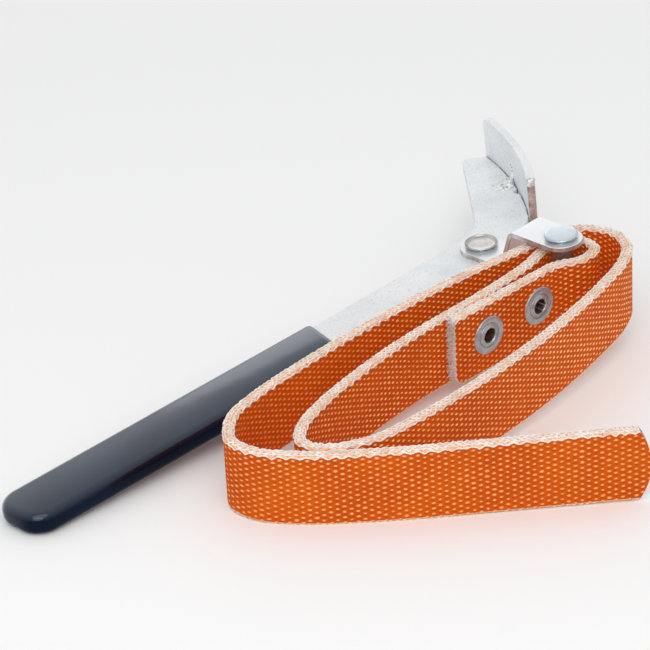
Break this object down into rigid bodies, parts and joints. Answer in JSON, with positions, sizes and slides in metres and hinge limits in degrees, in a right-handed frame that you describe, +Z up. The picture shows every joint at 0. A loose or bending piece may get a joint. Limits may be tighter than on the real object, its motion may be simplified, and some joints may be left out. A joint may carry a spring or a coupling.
{
  "type": "oil filter strap wrench",
  "caption": "Strap wrench for oil filters: dipped grip on a flat steel bar, curved jaw across its hooked head, cranked links on a pivot, and coiled woven strap.",
  "frame": {"origin": "centre of the footprint on the bench, as the tool lies", "axes": "+X along the bar from grip to head, +Y away from the strap, +Z up"},
  "size_m": [0.3212, 0.2266, 0.0492],
  "materials": {
    "zinc_plate": "dull zinc plating",
    "weld_metal": "plated weld bead",
    "link_steel": "bright zinc plating",
    "rivet_steel": "blue zinc plating",
    "grip_vinyl": "dipped vinyl, semi gloss",
    "webbing": "coated woven webbing with stitched edges",
    "eyelet_nickel": "nickel plated"
  },
  "bodies": {
    "handle": {"handle_bar": "zinc_plate", "grip_sleeve": "grip_vinyl", "jaw_plate": "zinc_plate", "jaw_welds": "weld_metal", "pivot_rivet": "rivet_steel", "pivot_washer": "rivet_steel"},
    "links": {"link_upper": "link_steel", "link_lower": "link_steel", "strap_pin": "rivet_steel", "strap_pin_washer": "rivet_steel", "pin_spacer": "rivet_steel"},
    "strap": {"strap": "webbing", "strap_eyelets": "eyelet_nickel", "eyelet_washers": "eyelet_nickel"},
    "free_end": {"strap_free_end": "webbing"}
  },
  "joints": [
    {"name": "link_pivot", "type": "hinge", "parent": "handle", "child": "links", "pos_m": [0.09134, 0.04921, 0.0236], "axis": [-0.0767, 0, 0.9971], "range_deg": [-2, 50]},
    {"name": "strap_swivel", "type": "hinge", "parent": "links", "child": "strap", "pos_m": [0.09134, 0.00291, 0.0236], "axis": [-0.0767, 0, 0.9971], "range_deg": [-1.5, 8]},
    {"name": "strap_bend", "type": "hinge", "parent": "strap", "child": "free_end", "pos_m": [-0.09611, -0.00774, 0.0156], "axis": [0.0506, 0.0506, -0.9974], "range_deg": [0, 55]}
  ]
}
